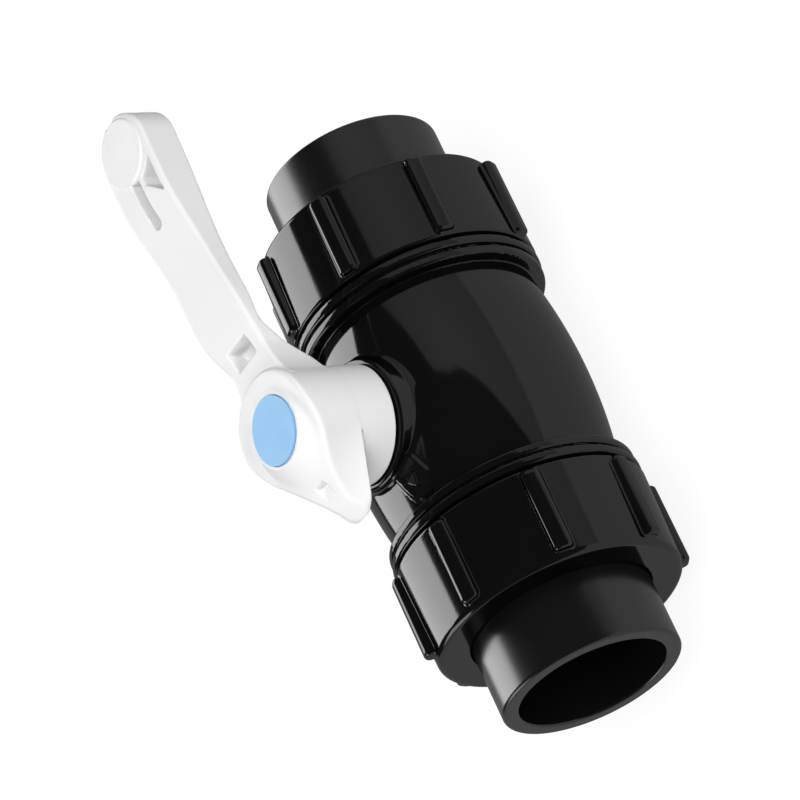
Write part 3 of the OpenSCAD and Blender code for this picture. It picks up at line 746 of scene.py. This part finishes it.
def lever_shape(x, y, z):
    """The lever with its hollow, thumb pad and the cuts in its top."""
    u = -x
    top = over_curve(z, lever_top, u)
    lever = lever_blank(u, y, z, top)
    lever = join(lever, thumb_pad(u, y, z), 0.5)
    lever = take(lever, lever_hollow(u, y, z, top), 0.5)
    lever = join(lever, pocket_walls(u, y, z), 2.0)
    lever = take(lever, tip_cuts(u, y, z), 0.5)
    return take(lever, square_pocket(u, y, z), 0.5)


def hub_plan(x, y, z):
    """Outline of the hub and its tail at a height: two circles and the lines that touch both."""
    lean = np.radians(tail_lean(z))
    end_r = tail_end(z)
    sin, cos = np.sin(lean), np.cos(lean)
    span = (HUB_R - end_r) / sin
    ay = np.abs(y)
    k = x * cos - ay * sin
    sides = ay * cos + x * sin - HUB_R
    nose = np.hypot(x - span, y) - end_r
    return np.where(k < 0, np.hypot(x, y) - HUB_R, np.where(k > cos * span, nose, sides))


def hub_level(x, rho, plan):
    """Height of the hub's top, dished inside its rim, with a soft rise to the seat of the cap."""
    inset = np.clip((-plan - 1.2) / 3.6, 0, 1)
    level = hub_top(x) - hub_dish(x) * inset ** 2 * (3 - 2 * inset)
    boss = CAP_TOP - 0.6 - 0.85 * np.maximum(rho - CAP_R - 1.2, 0)
    share = np.clip(0.5 + (boss - level) / 3, 0, 1)
    return level + (boss - level) * share + 1.5 * share * (1 - share)


def hub_shape(x, y, z):
    """The hub with its skirt and tail."""
    rho = np.hypot(x, y)
    plan = hub_plan(x, y, z) * 0.92
    hub = cut(cut(plan, (z - hub_level(x, rho, plan)) * 0.8, 1.2), TAIL_Z - z, 0.5)
    skirt = cut(rho - HUB_R + 0.01, slab(z, SKIRT_Z, 64), 0.5)
    return np.minimum(hub, skirt)


def handle_inside(x, y, z):
    """Room for the neck, the stop lug, the stem's square, the screw and the cap."""
    rho = np.hypot(x, y)
    room = cut(rho - (HUB_R - HUB_WALL), z - HUB_UNDER_Z, 0.3)
    facing = np.abs(np.mod(np.arctan2(y, x) - math.radians(45) + math.pi, TAU) - math.pi)
    wide = math.radians(45 + 1) + STOP_HALF_ANGLE
    ledge = np.maximum(slab(rho, NECK_R + 0.4, HUB_R - 2), NECK_Z - STOP_HEIGHT - z)
    ledge = cut(ledge, (wide - facing) * rho, 0.4)
    room = take(room, ledge, 0.3)
    socket = np.maximum(np.abs(x), np.abs(y)) - STEM_SQUARE_HALF_W
    socket = np.maximum(socket, z - HUB_UNDER_Z - STEM_SQUARE_HEIGHT)
    seat = cut(rho - CAP_R - 0.1, LEDGE_Z - z)
    return np.minimum(np.minimum(room, socket), np.minimum(rho - SCREW_HOLE_R, seat))


def handle_distance(x, y, z):
    """Hub and lever in one moulding, with the small recess in its tail, less its inside."""
    blend = 0.3 + 0.8 * np.clip((z - 72) / 3, 0, 1)
    shape = join(hub_shape(x, y, z), lever_shape(x, y, z), blend)
    recess = cut(cut(np.abs(x - 23.5) - 2.5, np.abs(y) - 2.5, 0.4), TAIL_Z + 9.2 - z, 0.3)
    shape = take(shape, recess, 0.4)
    return take(shape, handle_inside(x, y, z), 0.3)


handle = solid("dressed_handle", handle_distance, handle_low, handle_high, HANDLE_CELL, WHITE)
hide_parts("handle")
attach(handle, "handle")


# ---- floor and lights ----

FLOOR_REACH = 4
FLOOR_Z = -RIB_R * MM - 0.0002
CARD_Y = 0.27


def floor_material():
    """Pale floor that is white to the camera, in reflections and through clear parts."""
    mat = bpy.data.materials.new("pale_floor")
    mat.use_nodes = True
    nodes, links = mat.node_tree.nodes, mat.node_tree.links
    shader = nodes["Principled BSDF"]
    shader.inputs["Roughness"].default_value = 0.9
    shader.inputs["Specular IOR Level"].default_value = 0
    shader.inputs["Base Color"].default_value = (0.18, 0.18, 0.18, 1)
    shader.inputs["Emission Color"].default_value = (1, 1, 1, 1)
    rays = nodes.new("ShaderNodeLightPath")
    seen = nodes.new("ShaderNodeMath")
    seen.operation = "MAXIMUM"
    through = nodes.new("ShaderNodeMath")
    through.operation = "MAXIMUM"
    strength = nodes.new("ShaderNodeMath")
    strength.operation = "MULTIPLY"
    strength.inputs[1].default_value = 0.88
    links.new(rays.outputs["Is Camera Ray"], seen.inputs[0])
    links.new(rays.outputs["Is Glossy Ray"], seen.inputs[1])
    links.new(seen.outputs[0], through.inputs[0])
    links.new(rays.outputs["Is Transmission Ray"], through.inputs[1])
    links.new(through.outputs[0], strength.inputs[0])
    links.new(strength.outputs[0], shader.inputs["Emission Strength"])
    return mat


def stage_sheet(name, corners, material):
    """A flat sheet that isn't part of the object, from corners in metres."""
    mesh = bpy.data.meshes.new(name)
    mesh.from_pydata(corners, [], [tuple(range(len(corners)))])
    mesh.materials.append(material)
    sheet = bpy.data.objects.new(name, mesh)
    bpy.context.scene.collection.objects.link(sheet)
    return sheet


def bounce_card():
    """A pale card on the right, seen only as a reflection in the black plastic."""
    edge = [
        (60, -46), (0, 25), (-56, 75), (-85, 105), (-125, 165), (-145, 240), (-200, 345),
        (-285, 395), (-370, 445), (-520, 560), (-900, 860), (-1300, 1200), (-1300, -46),
    ]
    mat = bpy.data.materials.new("card")
    mat.use_nodes = True
    shader = mat.node_tree.nodes["Principled BSDF"]
    shader.inputs["Base Color"].default_value = (0.2, 0.2, 0.2, 1)
    shader.inputs["Emission Color"].default_value = (1, 1, 1, 1)
    shader.inputs["Emission Strength"].default_value = 0.48
    card = stage_sheet("bounce_card", [(x * MM, CARD_Y, z * MM) for x, z in edge], mat)
    card.visible_camera = False
    card.visible_diffuse = False
    card.visible_shadow = False
    card.visible_transmission = False


def softbox(name, direction, distance, size, watts):
    """A rectangular lamp that faces the object from a direction."""
    data = bpy.data.lights.new(name, "AREA")
    data.shape = "RECTANGLE"
    data.size, data.size_y = size
    data.energy = watts
    lamp = bpy.data.objects.new(name, data)
    way = Vector(direction).normalized()
    lamp.location = way * distance
    lamp.rotation_euler = way.to_track_quat("Z", "Y").to_euler()
    lamp.visible_camera = False
    bpy.context.scene.collection.objects.link(lamp)
    return lamp


floor_corners = [
    (-FLOOR_REACH, -FLOOR_REACH, FLOOR_Z), (FLOOR_REACH, -FLOOR_REACH, FLOOR_Z),
    (FLOOR_REACH, FLOOR_REACH, FLOOR_Z), (-FLOOR_REACH, FLOOR_REACH, FLOOR_Z),
]
stage_sheet("floor", floor_corners, floor_material())

# the left lamp and the card give the black plastic its highlights; the key and the fill light colours
left = softbox("left_softbox", (-0.524, -0.721, 0.454), 1.2, (1.07, 0.95), 33.5)
left.visible_diffuse = False
key = softbox("key_softbox", (0.2, 0.55, 0.8), 1.6, (1.4, 1.4), 23.4)
key.visible_glossy = False
softbox("front_softbox", (0.62, -0.68, 0.35), 1.5, (0.8, 0.8), 11.1)
fill = softbox("right_fill", (0.4, 0.9, 0.1), 1.5, (1.2, 0.5), 9.8)
fill.visible_glossy = False
bounce_card()

world = bpy.data.worlds.new("room")
bpy.context.scene.world = world
world.use_nodes = True
world.node_tree.nodes["Background"].inputs["Color"].default_value = (0.08, 0.08, 0.08, 1)
world.node_tree.nodes["Background"].inputs["Strength"].default_value = 1


# ---- camera ----

camera_data = bpy.data.cameras.new("camera")
camera_data.lens = 203.8
camera_data.sensor_width = 36
camera = bpy.data.objects.new("camera", camera_data)
right = Vector((0.3791, 0.4724, -0.7957)).normalized()
back = Vector((0.4382, 0.6657, 0.604)).normalized()
up = back.cross(right).normalized()
camera.matrix_world = Matrix((
    (right.x, up.x, back.x, 0.62525),
    (right.y, up.y, back.y, 0.96318),
    (right.z, up.z, back.z, 0.89746),
    (0, 0, 0, 1),
))
bpy.context.scene.collection.objects.link(camera)
bpy.context.scene.camera = camera
bpy.context.scene.view_settings.view_transform = "Standard"
